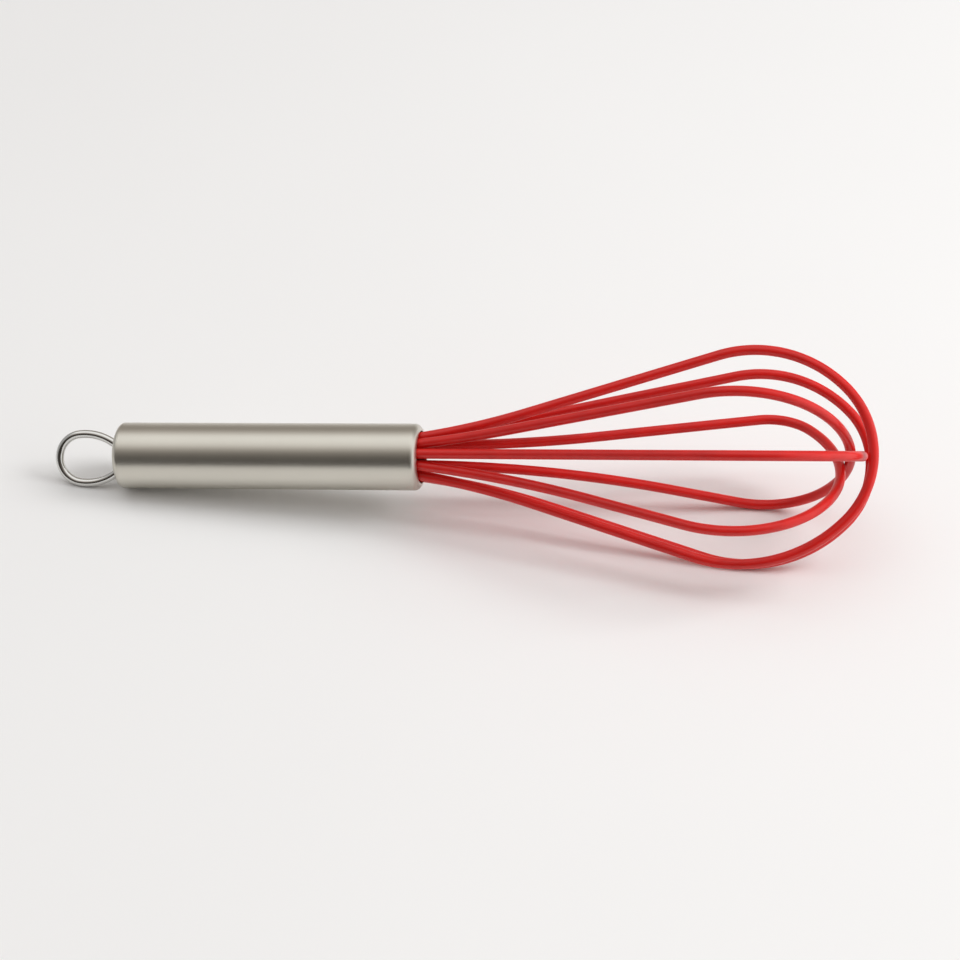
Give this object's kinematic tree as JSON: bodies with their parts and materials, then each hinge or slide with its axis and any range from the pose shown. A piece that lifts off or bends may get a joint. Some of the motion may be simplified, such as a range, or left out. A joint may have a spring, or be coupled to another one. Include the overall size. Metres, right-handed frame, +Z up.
{
  "type": "balloon whisk",
  "caption": "Balloon whisk with a satin steel tube handle, a fixed wire hang loop and silicone-covered wire loops; lies on its side.",
  "frame": {"origin": "centre of the underside of the bounding box, on the surface the whisk lies on", "axes": "+X from the hang loop towards the balloon's tip, +Z up; the handle's axis rises 5.80 degrees towards the tip"},
  "size_m": [0.2472, 0.0642, 0.0605],
  "materials": {
    "brushed_steel": "satin",
    "polished_steel": "polished",
    "red_silicone": "semi-matt",
    "spring_wire": "drawn",
    "moulded_plastic": "matt",
    "potting_resin": "cast"
  },
  "bodies": {
    "root": {"handle_tube": "brushed_steel", "rear_cap": "brushed_steel", "rear_plug": "moulded_plastic", "hang_loop": "polished_steel", "hang_loop_ferrules": "polished_steel", "strand_guide": "moulded_plastic", "resin_fill": "potting_resin", "anchor_block": "moulded_plastic", "silicone_sheath_1": "red_silicone", "silicone_sheath_2": "red_silicone", "silicone_sheath_3": "red_silicone", "silicone_sheath_4": "red_silicone", "silicone_sheath_5": "red_silicone", "wire_core_1": "spring_wire", "wire_core_2": "spring_wire", "wire_core_3": "spring_wire", "wire_core_4": "spring_wire", "wire_core_5": "spring_wire"}
  },
  "joints": []
}
